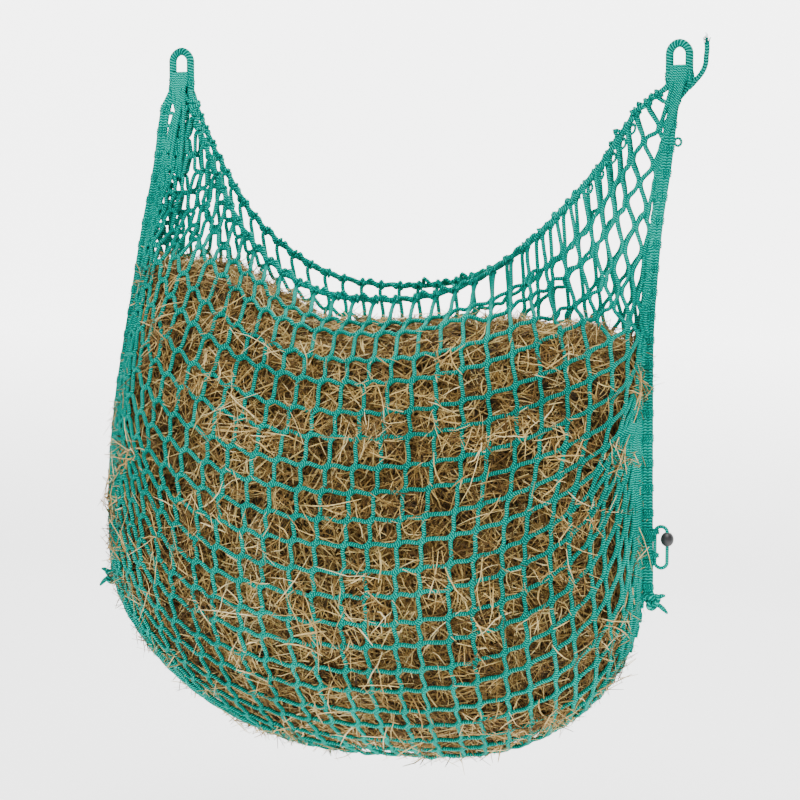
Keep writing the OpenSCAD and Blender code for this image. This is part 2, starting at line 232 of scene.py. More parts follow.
def curveAt(share, column):
    at, value = profile[:, 0], profile[:, column]
    slope = np.gradient(value, at)
    slope[1:-1] = (value[2:] - value[:-2]) / (at[2:] - at[:-2])
    share = np.clip(share, 0, 1)
    i = np.clip(np.searchsorted(at, share, "right") - 1, 0, len(at) - 2)
    w = at[i + 1] - at[i]
    t = (share - at[i]) / w
    return (value[i] * (1 + 2 * t) * (1 - t) ** 2 + slope[i] * w * t * (1 - t) ** 2
            + value[i + 1] * t * t * (3 - 2 * t) + slope[i + 1] * w * t * t * (t - 1))


def outline(drop):
    u = drop / bag["height"]
    s = np.maximum(u - bag["closeFrom"], 0) / (1 - bag["closeFrom"])
    closing = np.maximum(1 - s * s, 0) ** bag["closePower"]
    top = bag["span"] / 2 - bag["inset"]
    spread = top + (bag["belly"] / 2 - top) * curveAt(u, 1)
    half = bag["fold"] / 2 + (spread - bag["fold"] / 2) * closing
    return (midX - bag["shift"] * curveAt(u, 5), half, -bag["forward"] * curveAt(u, 2),
            closing * bag["front"] * curveAt(u, 3), closing * bag["back"] * curveAt(u, 4))


def mouthDrop(side, q):
    return bag["sag"][side] * (1 - np.abs(q) ** bag["mouthPower"])


def outside(points):  # 1 on the filled bag's surface, less inside
    drop = -points[:, 2]
    middle, half, seam, front, back = outline(drop)
    q = (points[:, 0] - middle) / half
    ahead = points[:, 1] < seam
    tucked = 1 - (1 - bag["tuck"]) * np.exp(-np.maximum(drop - mouthDrop(0, np.clip(q, -1, 1)), 0) / bag["tuckFade"])
    reach = np.maximum(np.where(ahead, front * tucked, back), 0.002)
    power = bag["square"]
    return (np.abs(q) ** power + np.abs((points[:, 1] - seam) / reach) ** power) ** (1 / power), q, drop


def smoothStep(t):
    t = np.clip(t, 0, 1)
    return t * t * (3 - 2 * t)


def hayDrop(q):
    return (bag["hayTop"] - bag["leftRise"] * smoothStep((-q - 0.15) / 0.65)
            - bag["rightRise"] * smoothStep((q - 0.1) / 0.5))


def pushOut(points, grow):
    level, q, drop = outside(points)
    step = 0.0005
    slope = np.stack([(outside(points + offset)[0] - level) / step for offset in np.eye(3) * step], 1)
    steep = np.maximum(np.sum(slope * slope, 1), 1.0)
    lack = np.maximum(1 + grow * np.sqrt(steep) - level, 0) * (drop > hayDrop(np.clip(q, -1, 1)))
    return points + np.clip(slope * (lack / steep)[:, None], -0.02, 0.02)


def borderPoint(side, drop):
    middle, half, seam, _, _ = outline(drop)
    return np.stack([middle + side * (half + 0.0115), seam, -drop], -1)


def evenly(points, count):  # the same number of points at equal steps along a line
    length = np.concatenate([[0], np.cumsum(np.linalg.norm(np.diff(points, axis=0), axis=1))])
    at = np.linspace(0, length[-1], count)
    return np.stack([np.interp(at, length, points[:, k]) for k in range(3)], 1)


def mouthLine(side):  # the edge of the mouth, from eye to eye
    q = np.sign(np.linspace(-1, 1, 161)) * np.abs(np.sin(np.linspace(-math.pi / 2, math.pi / 2, 161))) ** 0.87
    drop = mouthDrop(side, q)
    middle, half, seam, front, back = outline(drop)
    bulge = np.maximum(1 - np.abs(q) ** bag["square"], 0) ** (1 / bag["square"])
    depth = -front * bag["tuck"] * bulge if side == 0 else back * bulge
    sign = -1 if side == 0 else 1
    line = np.stack([middle + half * q, seam + depth + sign * 0.0045, -drop], 1)
    line = line[drop > 0.066]
    ends = np.array([[0.0115, sign * 0.0045, -0.037], [bag["span"] - 0.0115, sign * 0.0045, -0.037]])
    return np.concatenate([ends[:1], line, ends[1:]])


# ---- the netting: a grid of inextensible bars that hangs over the hay ----
net = {"columns": 38, "rows": 22, "bar": 0.0312, "rise": 0.0310, "joint": 0.0046, "twine": 0.0049,
       "rounds": 2600, "weight": 0.003, "overHay": 0.0038, "give": 0.01, "calm": 0.0006, "taut": 0.12,
       "tautBack": 0.17, "gather": 1.35, "bunch": 0.4, "backSplit": 9, "filled": 0.36}


# the upright strands stand closer together towards the sides
barShare = 1 - net["bunch"] * np.abs((2 * np.arange(net["columns"]) + 1) / net["columns"] - 1) ** 3
columnAt = np.concatenate([[0], np.cumsum(barShare)]) / barShare.sum()


def hangNet():
    nx, ny = net["columns"], net["rows"]
    sides = []
    for s in (-1, 1):
        top = np.array([[midX + s * (bag["span"] / 2 + 0.004), 0, -0.040]])
        rope = np.concatenate([top, borderPoint(s, np.linspace(0.065, bag["seam"], 60))])
        rope[1:, 0] -= s * 0.006
        many = evenly(rope, 400)  # the side meshes are gathered towards the eye
        sides.append(many[np.round(np.linspace(0, 1, ny + 1) ** net["gather"] * 399).astype(int)])
    drops = np.linspace(bag["seam"], bag["height"] - 0.001, 40)
    lower = [borderPoint(s, drops) - [s * 0.007, 0, 0] for s in (-1, 1)]
    atColumns = lambda line: evenly(line, 2001)[np.round(columnAt * 2000).astype(int)]
    bottom = atColumns(np.concatenate([lower[0], lower[1][::-1]]))
    bottom[0], bottom[-1] = sides[0][-1], sides[1][-1]
    across = columnAt[:, None, None]
    down = np.linspace(0, 1, ny + 1)[None, :, None]
    grids = []
    for side in (0, 1):
        mouth = atColumns(mouthLine(side))
        mouth[0], mouth[-1] = sides[0][0], sides[1][0]
        left, right = sides[0][None], sides[1][None]
        over, under = mouth[:, None], bottom[:, None]
        grid = ((1 - across) * left + across * right + (1 - down) * over + down * under
                - (1 - across) * (1 - down) * over[0] - across * (1 - down) * over[-1]
                - (1 - across) * down * under[0] - across * down * under[-1])
        swell = np.sin(math.pi * across[..., 0]) ** 0.7 * np.sin(math.pi * down[..., 0]) ** 0.8
        grid[..., 1] += (-0.16 if side == 0 else 0.15) * swell
        grid[..., 2] -= 0.07 * np.sin(math.pi * down[..., 0]) * np.sin(math.pi * across[..., 0]) ** 0.4
        grids.append(grid)
    points = np.stack(grids)  # side, column, row, xyz
    held = np.zeros(points.shape[:3], bool)
    held[:, 0], held[:, -1], held[:, :, 0], held[:, :, -1] = True, True, True, True
    start = points.copy()
    rounds = net["rounds"]
    for step in range(rounds):
        low = smoothStep((-points[..., 2] - net["filled"]) / 0.2)  # the filled part is taut, the part above it hangs
        points[..., 2] -= net["weight"] * (1 - low) * (1 if step < rounds * 0.8 else 0.4)
        middle = sum(np.roll(points, way, axis) for way, axis in ((1, 1), (-1, 1), (1, 2), (-1, 2))) * 0.25
        calm = points.copy()
        calm[:, 1:-1, 1:-1] += net["calm"] * (middle - points)[:, 1:-1, 1:-1]
        points = calm
        for axis, length in ((1, net["bar"]), (2, net["rise"])):
            for odd in (0, 1):
                a = [slice(None)] * 3
                b = [slice(None)] * 3
                end = points.shape[axis] - 1
                a[axis], b[axis] = slice(odd, end, 2), slice(odd + 1, end + 1, 2)
                a, b = tuple(a), tuple(b)
                gap = points[b] - points[a]
                size = np.maximum(np.linalg.norm(gap, axis=-1, keepdims=True), 1e-6)
                share = barShare[odd:end:2][None, :, None] if axis == 1 else 1
                taut = np.array([net["taut"], net["tautBack"]])[:, None, None]
                rest = length * (share * (1 - taut * 0.5 * (low[a] + low[b])))[..., None]
                pull = np.where(size > rest, 1.0, net["give"]) * (size - rest) / size * gap
                points[a] += 0.5 * pull
                points[b] -= 0.5 * pull
        shared = points[:, :, -1].mean(0)
        points[:, :, -1] = shared
        points[held] = start[held]
        if step % 2:
            flat = points.reshape(-1, 3)
            points = pushOut(flat, net["overHay"]).reshape(points.shape)
            points[..., 2] = np.maximum(points[..., 2], -bag["height"] - 0.003)
            points[held] = start[held]
    return points


netPoints = hangNet()
lengths = np.linalg.norm(np.diff(netPoints, axis=2), axis=-1)
print("net hung: upright bars", lengths.mean().round(4), "m, longest", lengths.max().round(4))


def smoothLine(points, parts):  # Catmull-Rom through the points
    p = np.concatenate([points[:1], points, points[-1:]])
    a, b, c, d = p[:-3], p[1:-2], p[2:-1], p[3:]
    out = []
    for t in np.linspace(0, 1, parts, endpoint=False):
        out.append(0.5 * (2 * b + (c - a) * t + (2 * a - 5 * b + 4 * c - d) * t * t
                          + (3 * b - a - 3 * c + d) * t ** 3))
    return np.concatenate([np.stack(out, 1).reshape(-1, 3), points[-1:]])


def unitRows(v):
    return v / np.maximum(np.linalg.norm(v, axis=-1, keepdims=True), 1e-9)


def jointFrames(grid):  # the direction of each joint and of the pair of twines across it
    along = unitRows(np.concatenate([grid[1:2] - grid[:1], grid[2:] - grid[:-2], grid[-1:] - grid[-2:-1]]))
    up = unitRows(np.concatenate([grid[:, :1] - grid[:, 1:2], grid[:, :-2] - grid[:, 2:],
                                  grid[:, -2:-1] - grid[:, -1:]], axis=1))
    facing = np.cross(along, up)
    for _ in range(3):
        facing = (facing + np.roll(facing, 1, 0) + np.roll(facing, -1, 0) + np.roll(facing, 1, 1)
                  + np.roll(facing, -1, 1)) / 5
    facing = unitRows(facing + np.array([0, -0.1, 0]))
    apart = unitRows(up - along)
    return unitRows(np.cross(apart, facing)), apart, facing


def netLines(side, zoneOf):  # the twines run through the grid in steps: right, up, right, up
    grid = netPoints[side]
    nx, ny = net["columns"], net["rows"]
    joint, apart, facing = jointFrames(grid)
    shake = np.random.default_rng(31 + side).normal(0, 1, grid.shape + (3,))
    lines = {}
    starts = [(0, j, 0) for j in range(ny + 1)] + [(i, ny, 0) for i in range(1, nx)]
    if side == 1:  # the fold's own bars belong to the front panel
        starts = [(0, j, 0) for j in range(ny)] + [(i, ny, 1) for i in range(1, nx)]
    half = net["twine"] * 0.47
    for i, j, rising in starts:
        zone, line = None, []
        while True:
            lane = 1 if rising else -1
            here = [grid[i, j] + k * net["joint"] * joint[i, j] + lane * half * apart[i, j] for k in (-1, 1)]
            line += here
            ni, nj = (i, j - 1) if rising else (i + 1, j)
            if ni > nx or nj < 0:
                break
            goes = zoneOf(i, j, ni, nj)
            if zone is not None and goes != zone:
                lines.setdefault(zone, []).append(np.array(line))
                line = list(here)
            zone = goes
            gap = grid[ni, nj] - grid[i, j]
            rest = net["rise"] if rising else net["bar"] * barShare[min(i, ni)]
            if grid[i, j, 2] < -0.34:
                rest *= 1 - net["taut"]
            size = np.linalg.norm(gap)
            bow = min(math.sqrt(max(rest - size, 0) * size * 0.25), 0.0055) + 0.0006
            lean = apart[i, j] * shake[i, j, 0, 0] + facing[i, j] * abs(shake[i, j, 1, 0]) * 0.6
            centre = 0.5 * (grid[i, j] + grid[ni, nj]) + lean * bow * 0.6
            if j == 0 and nj == 0:
                centre = centre + np.array([0, 0, 0.004]) + facing[i, j] * 0.002
            line.append(centre)
            i, j, rising = ni, nj, not rising
            if i == nx and rising:
                line += [grid[i, j] + k * net["joint"] * joint[i, j] + half * apart[i, j] for k in (-1, 1)]
                break
        if zone is not None:
            lines.setdefault(zone, []).append(np.array(line))
    return lines


def treeWith(name, inputs):  # a new Geometry Nodes tree with named inputs
    tree = bpy.data.node_groups.new(name, "GeometryNodeTree")
    for label, kind in inputs:
        tree.interface.new_socket(label, in_out="INPUT", socket_type=kind)
    tree.interface.new_socket("Result", in_out="OUTPUT", socket_type="NodeSocketGeometry")
    return tree, tree.nodes.new("NodeGroupInput"), tree.nodes.new("NodeGroupOutput")


def closeTree(tree, leave, result, finish):
    solid = Wire(tree).node("GeometryNodeRealizeInstances", {}, {"Geometry": result})
    painted = Wire(tree).node("GeometryNodeSetMaterial", {}, {"Geometry": solid, "Material": finish})
    tree.links.new(painted.socket, leave.inputs["Result"])


def makeSweepTree():
    tree, enter, leave = treeWith("sweepCord", [("Paths", "NodeSocketGeometry"), ("Radius", "NodeSocketFloat"),
                                  ("Sides", "NodeSocketInt"), ("Finish", "NodeSocketMaterial")])
    w = Wire(tree)
    given = {socket.name: Wire(tree, socket) for socket in enter.outputs if socket.name}
    path = w.node("GeometryNodeMeshToCurve", {}, {"Mesh": given["Paths"]})
    path = w.node("GeometryNodeStoreNamedAttribute", {"data_type": "FLOAT", "domain": "POINT"},
                  {"Geometry": path, "Name": "along",
                   "Value": w.node("GeometryNodeSplineParameter", output="Length")})
    ring = w.node("GeometryNodeCurvePrimitiveCircle", {}, {"Resolution": given["Sides"], "Radius": given["Radius"]})
    turn = w.node("GeometryNodeSplineParameter", output="Factor")
    ring = w.node("GeometryNodeStoreNamedAttribute", {"data_type": "FLOAT", "domain": "POINT"},
                  {"Geometry": ring, "Name": "side", "Value": (turn * 2.0 - 1.0).size() * math.pi})
    wide = w.node("GeometryNodeInputNamedAttribute", {"data_type": "FLOAT"}, {"Name": "wide"})
    tube = w.node("GeometryNodeCurveToMesh", {},
                  {"Curve": path, "Profile Curve": ring, "Scale": wide, "Fill Caps": True})
    smooth = w.node("GeometryNodeSetShadeSmooth", {}, {"Geometry": tube, "Shade Smooth": True})
    closeTree(tree, leave, smooth, given["Finish"])
    return tree


def runTree(piece, tree, values):  # runs the tree on the piece and leaves a plain mesh
    change = piece.modifiers.new(tree.name, "NODES")
    change.node_group = tree
    sockets = {item.name: item.identifier for item in tree.interface.items_tree
               if item.item_type == "SOCKET" and item.in_out == "INPUT"}
    for name, value in values.items():
        change[sockets[name]] = value
    graph = bpy.context.evaluated_depsgraph_get()
    made = bpy.data.meshes.new_from_object(piece.evaluated_get(graph), preserve_all_data_layers=True, depsgraph=graph)
    piece.modifiers.clear()
    old, piece.data = piece.data, made
    bpy.data.meshes.remove(old)
    return piece


sweepTree = makeSweepTree()


def sweep(name, lines, radius, finish, sides=8, parts=3, taper=None):
    points, edges, wide = [], [], []
    count = 0
    for line in lines:
        line = smoothLine(np.asarray(line, float), parts) if parts > 1 else np.asarray(line, float)
        points.append(line)
        edges.append(np.stack([np.arange(len(line) - 1), np.arange(1, len(line))], 1) + count)
        ends = np.ones(len(line))
        if taper:  # the last part of the line narrows
            ends[-len(line) // 3:] = np.linspace(1, taper, len(ends[-len(line) // 3:]))
        wide.append(ends)
        count += len(line)
    mesh = bpy.data.meshes.new(name)
    mesh.from_pydata(np.concatenate(points).tolist(), np.concatenate(edges).tolist(), [])
    mesh.attributes.new("wide", "FLOAT", "POINT").data.foreach_set("value", np.concatenate(wide).astype(np.float32))
    piece = bpy.data.objects.new(name, mesh)
    scene.collection.objects.link(piece)
    return runTree(piece, sweepTree, {"Radius": radius, "Sides": sides, "Finish": finish})


# ---- netting pieces ----
hingeRow = int(np.argmin(np.abs(netPoints[0, net["columns"] // 2, :, 2] + 0.370)))
print("hinge row", hingeRow, netPoints[0, net["columns"] // 2, hingeRow].round(3))


def frontZone(i, j, ni, nj):
    if max(j, nj) > hingeRow:
        return "belly"
    return "mouthLeft" if i + ni < net["columns"] + 1 else "mouthRight"


frontLines = netLines(0, frontZone)
backLines = netLines(1, lambda i, j, ni, nj: "upper" if max(j, nj) <= net["backSplit"] else "lower")


def gatherLines(side, s):  # the last strands run up together under the eye
    nx = net["columns"]
    lines = []
    for k, (i, j) in enumerate(((1, 1), (2, 1), (1, 2), (2, 2), (1, 3), (3, 2), (2, 3))):
        foot = netPoints[side, i if s < 0 else nx - i, j]
        head = np.array([midX + s * (bag["span"] / 2) + 0.0026 * (k - 3), (-1, 1)[side] * 0.0058, -0.0135])
        over = head + [0, (-1, 1)[side] * 0.0028, -0.0115]  # it lies over the whipping
        lines.append(np.array([head, over, 0.62 * over + 0.38 * foot + [0.002 * (k % 3 - 1), 0, -0.004], foot]))
    return lines


radius = net["twine"] / 2
eyeStrands = {s: sweep("eyeStrands" + name, gatherLines(0, s) + gatherLines(1, s), radius, twineFinish, 7)
              for s, name in ((-1, "Left"), (1, "Right"))}
netBelly = sweep("netBelly", frontLines["belly"], radius, twineFinish, 7)
netMouthLeft = sweep("netMouthLeft", frontLines["mouthLeft"], radius, twineFinish, 7)
netMouthRight = sweep("netMouthRight", frontLines["mouthRight"], radius, twineFinish, 7)
netBackUpper = sweep("netBackUpper", backLines["upper"], radius, twineFinish, 7)
netBackLower = sweep("netBackLower", backLines["lower"], radius, twineFinish, 6)
print("twine laid:", len(netBelly.data.polygons), "faces on the belly")


# ---- ropes and cords ----
rope = {"rail": 0.0034, "apart": 0.0029, "lace": 0.0012, "every": 0.0285,
        "cord": 0.0032, "loop": 0.0047, "thin": 0.0017, "eye": 0.0048}


def wrapLine(path, reach, pitch):  # a helix round a path, wider along X than across
    length = np.concatenate([[0], np.cumsum(np.linalg.norm(np.diff(path, axis=0), axis=1))])
    at = np.arange(0.0, length[-1], pitch / 12)
    centre = np.stack([np.interp(at, length, path[:, k]) for k in range(3)], 1)
    forward = unitRows(np.gradient(centre, axis=0))
    wide = unitRows(np.cross(forward, np.array([0.0, 1.0, 0.0])))
    thin = np.cross(forward, wide)
    angle = at / pitch * 2 * math.pi
    return centre + reach[0] * np.cos(angle)[:, None] * wide + reach[1] * np.sin(angle)[:, None] * thin


def eyePath(s):  # from the outer leg over the eye and down the inner leg
    centre = np.array([midX + s * bag["span"] / 2, 0, 0])
    turn = np.radians(np.linspace(0, 180, 25))
    tall = 1 + 0.10 * np.sin(turn) ** 3  # the top of the bend is drawn up a little
    arc = centre + 0.0115 * np.stack([s * np.cos(turn), 0 * turn, tall * np.sin(turn)], 1)
    legs = [centre + [k * 0.0115, 0, z] for k in (s, -s) for z in (-0.036, -0.012)]
    return np.array([legs[0], legs[1], *arc, legs[3], legs[2]])


def borderPath(s):
    top = np.array([[midX + s * (bag["span"] / 2 + 0.0105), 0, z] for z in (-0.020, -0.034)])
    low = borderPoint(s, bag["seam"] + 0.008) + [s * 0.004, 0, 0]
    return np.concatenate([top, borderPoint(s, np.linspace(0.055, bag["seam"] - 0.002, 48)), [low]])


def knotLines(s):
    centre = borderPoint(s, bag["seam"]) + [s * 0.0055, 0, -0.012]
    t = np.linspace(0, 2 * math.pi, 40)[:-1]
    trefoil = np.stack([np.sin(t) + 2 * np.sin(2 * t), -np.sin(3 * t) * 1.6, np.cos(t) - 2 * np.cos(2 * t)], 1)
    tips = []
    for turn in (50, 115):
        a = math.radians(turn)
        way = np.array([s * math.sin(a), 0, math.cos(a)])
        tips.append(np.array([centre + way * d + np.array([0, 0.0008 * k, -0.0006 * k * k]) for k, d in
                              enumerate((0.004, 0.009, 0.014, 0.0195))]))
    return centre + trefoil * 0.0027, tips


def fringe(centre, way, count, length, seed):  # loose fibres of a cut rope end
    pick = np.random.default_rng(seed)
    lines = []
    for _ in range(count):
        lean = np.array(way) + pick.normal(0, 0.28, 3)
        root = np.array(centre) + pick.normal(0, 0.0012, 3)
        lines.append(np.array([root, root + lean * length * 0.5, root + lean * length + pick.normal(0, 0.0008, 3)]))
    return lines


def joined(name, pieces):
    with bpy.context.temp_override(active_object=pieces[0], object=pieces[0], selected_objects=pieces,
                                   selected_editable_objects=pieces):
        bpy.ops.object.join()
    pieces[0].name = name
    return pieces[0]


def band(name, path, rail, apart):  # two knit cords side by side, laced together at every mesh
    rails = [path + np.array([k * apart, 0.0004 * k, 0]) for k in (-1, 1)]
    length = np.concatenate([[0], np.cumsum(np.linalg.norm(np.diff(path, axis=0), axis=1))])
    laces = []
    for at in np.arange(0.012, length[-1], rope["every"]):
        span = at + np.linspace(-0.004, 0.004, 9)
        near = np.stack([np.interp(span, length, path[:, k]) for k in range(3)], 1)
        laces.append(wrapLine(near, (rail + apart + 0.0003, rail + 0.0002), 0.0028))
    return joined(name, [sweep(name + "Rails", rails, rail, borderFinish, 10, 1),
                         sweep(name + "Laces", laces, rope["lace"], twineFinish, 6, 1)])


def fine(path, step=0.003):
    count = int(np.linalg.norm(np.diff(path, axis=0), axis=1).sum() / step)
    return evenly(smoothLine(path, 6), count)


ropes = {}
for s, name in ((-1, "Left"), (1, "Right")):
    ropes["border" + name] = band("border" + name, fine(borderPath(s)), rope["rail"], rope["apart"])
    ropes["eye" + name] = sweep("eye" + name, [fine(eyePath(s), 0.0015)], rope["eye"], borderFinish, 12, 1)
    coil = np.array([[midX + s * bag["span"] / 2, 0, z] for z in (-0.021, -0.0300)])
    coilPath = wrapLine(evenly(coil, 40), (0.0156, 0.0052), 0.0033)
    ropes["whipping" + name] = sweep("whipping" + name, [coilPath], 0.0019, twineFinish, 7, 1)
    loop, tips = knotLines(s)
    knot = sweep("knotBody" + name, [np.concatenate([loop, loop[:2]])], 0.0030, borderFinish, 8, 2)
    ends = sweep("knotTips" + name, tips, 0.0027, twineFinish, 8, 4, 0.45)
    ropes["knot" + name] = joined("knot" + name, [knot, ends])

tuftBase = np.array([midX + bag["span"] / 2 + 0.0315, 0, -0.0155])
tuftPath = [tuftBase + [x, 0.0, z] for x, z in (
    (-0.0205, -0.024), (-0.0135, -0.0165), (-0.005, -0.006), (-0.001, 0.004), (-0.0005, 0.012),
    (0.0004, 0.020), (0, 0.028))]
tuft = sweep("tuftRope", [np.array(tuftPath)], 0.0031, borderFinish, 8, 4)
tuftFibres = sweep("tuftFibres", fringe(tuftBase + [0, 0, 0.027], (0, 0, 1), 34, 0.006, 5), 0.0004,
                   borderFinish, 4, 2)
ropes["tuft"] = joined("sealedEnd", [tuft, tuftFibres])


def mouthCordLines(side):
    line = fine(mouthLine(side), 0.004) + np.array([0, 0, 0.0015])
    wave = np.sin(np.arange(len(line)) * 0.9)[:, None] * np.array([0, 0.0006, 0.0009])
    rings = []
    grid = netPoints[side]
    for i in range(1, net["columns"]):
        k = int(np.argmin(np.linalg.norm(line - grid[i, 0], axis=1)))
        forward = unitRows(line[min(k + 1, len(line) - 1)] - line[k - 1])
        outwards = unitRows(np.cross(forward, [0, 0, 1.0]) + 1e-6)
        upwards = np.cross(outwards, forward)
        turn = np.linspace(0, 2 * math.pi, 13)
        free = side == 0 and net["columns"] - 8 <= i < net["columns"] - 3  # slack loops near the right eye
        centre = line[k] + forward * 0.0008 - upwards * (0.0045 if free else 0)
        reach = rope["loop"] * (1.4 if free else 1)
        flat = forward if free else outwards
        rings.append(centre + reach * (np.cos(turn)[:, None] * flat + np.sin(turn)[:, None] * upwards)
                     + forward * (turn[:, None] - math.pi) * 0.0007)
    return line + wave, rings


cordLine, cordRings = mouthCordLines(0)
halfway = 0.290  # where the front mouth cord is split in two
cut = int(np.argmin(np.abs(cordLine[:, 0] - halfway)))
cords = {}
for name, part, own in (("Left", cordLine[:cut + 1], [r for r in cordRings if r[0, 0] < halfway]),
                        ("Right", cordLine[cut:], [r for r in cordRings if r[0, 0] >= halfway])):
    plain = sweep("mouthCordPlain" + name, [part], rope["cord"], cordFinish, 8, 1)
    rings = sweep("mouthLoops" + name, own, rope["thin"], twineFinish, 6, 1)
    cords["front" + name] = joined("mouthCordFront" + name, [plain, rings])
backLine, backRings = mouthCordLines(1)
cords["back"] = joined("mouthCordBack", [sweep("backPlain", [backLine], rope["cord"], cordFinish, 8, 1),
                                         sweep("backLoops", backRings, rope["thin"], twineFinish, 6, 1)])

seamBox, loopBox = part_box("seam_loop_right"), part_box("stopper_loop")
ringMid = (seamBox[0] + seamBox[1]) / 2 - Vector((0.0022, 0, 0))
turn = np.linspace(0, 2 * math.pi, 29)
ringLine = np.array(ringMid) + 0.004 * np.stack([np.cos(turn) * 0.98, 0 * turn, np.sin(turn) * 1.1], 1)
ropes["seamLoop"] = sweep("seamLoop", [ringLine], 0.0016, cordFinish, 8, 1)
low, high = np.array(loopBox[0]), np.array(loopBox[1])
legs = (low[0] + 0.00225, high[0] - 0.00225)
bend = (legs[1] - legs[0]) / 2
upper, lower = high[2] - 0.00225 - bend, low[2] + 0.00225 + bend
centreX, centreY = (legs[0] + legs[1]) / 2, (low[1] + high[1]) / 2
over = np.linspace(0, math.pi, 13)
loopLine = [[centreX + bend * math.cos(a), centreY, upper + bend * math.sin(a)] for a in over]
loopLine += [[centreX - bend * math.cos(a), centreY, lower - bend * math.sin(a)] for a in over]
loopLine.append(loopLine[0])
loopTwine = sweep("loopTwine", [fine(np.array(loopLine), 0.0025)], 0.0021, twineFinish, 8, 1)
ties = []
for z in (upper + 0.001, lower + 0.008):  # two ties hold the loop on the border
    tie = np.array([[legs[0] - 0.0065, centreY, z + d] for d in np.linspace(-0.003, 0.003, 7)])
    ties.append(wrapLine(tie, (0.0105, 0.0052), 0.0026))
ropes["stopperLoop"] = joined("stopperLoop", [loopTwine, sweep("loopTies", ties, 0.0013, twineFinish, 6, 1)])
print("ropes and cords laid")


# ---- hay ----
hay = {"seed": 11, "stalks": 27600, "deep": 13600, "loose": 1700, "sunk": 0.006, "lumps": 0.014,
       "length": (0.02, 0.075), "width": (0.0003, 0.0007), "shapes": 10}


def hayCore():
    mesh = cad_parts["hay_load"].data.copy()
    core = bpy.data.objects.new("hayInside", mesh)
    scene.collection.objects.link(core)
    weld = core.modifiers.new("weld", "WELD")
    weld.merge_threshold = 0.0003
    remesh = core.modifiers.new("remesh", "REMESH")
    remesh.mode, remesh.voxel_size, remesh.use_smooth_shade = "VOXEL", 0.009, True
    graph = bpy.context.evaluated_depsgraph_get()
    core.data = bpy.data.meshes.new_from_object(core.evaluated_get(graph), depsgraph=graph)
    core.modifiers.clear()
    count = len(core.data.vertices)
    place, normal = np.zeros(count * 3), np.zeros(count * 3)
    core.data.vertices.foreach_get("co", place)
    core.data.vertex_normals.foreach_get("vector", normal)
    place, normal = place.reshape(-1, 3), normal.reshape(-1, 3)
    lump = np.array([noise.noise(Vector(p) * 22) + 0.5 * noise.noise(Vector(p) * 60) for p in place])
    sink = hay["sunk"] - hay["lumps"] * np.clip(lump, -1, 0.5)
    core.data.vertices.foreach_set("co", (place - normal * sink[:, None]).ravel())
    core.data.materials.clear()
    core.data.materials.append(gapShadeFinish)
    return core


def stalkShape(index):  # one bent stalk with three sides, along X
    pick = np.random.default_rng(100 + index)
    length, width = pick.uniform(*hay["length"]), pick.uniform(*hay["width"])
    steps = 4
    x = np.linspace(-0.5, 0.5, steps + 1) * length
    bendY, bendZ = pick.normal(0, 0.06), pick.normal(0, 0.05)
    y = bendY * length * (np.cos(np.linspace(-1.6, 1.6, steps + 1)) - 0.6) + pick.normal(0, 0.0008, steps + 1)
    z = bendZ * length * (np.cos(np.linspace(-1.5, 1.5, steps + 1)) - 0.6)
    rings, faces = [], []
    for k in range(steps + 1):
        thick = width * (1 if 0 < k < steps else 0.55)
        for a in (90, 210, 330):
            angle = math.radians(a)
            rings.append((x[k], y[k] + thick * 1.25 * math.cos(angle), z[k] + thick * 0.8 * math.sin(angle)))
    for k in range(steps):
        for a in range(3):
            b = (a + 1) % 3
            faces.append((k * 3 + a, k * 3 + b, k * 3 + 3 + b, k * 3 + 3 + a))
    faces += [(2, 1, 0), (steps * 3, steps * 3 + 1, steps * 3 + 2)]
    mesh = bpy.data.meshes.new(f"stalk{index}")
    mesh.from_pydata(rings, [], faces)
    return bpy.data.objects.new(f"stalk{index}", mesh)


stalks = bpy.data.collections.new("stalks")
for index in range(hay["shapes"]):
    stalks.objects.link(stalkShape(index))


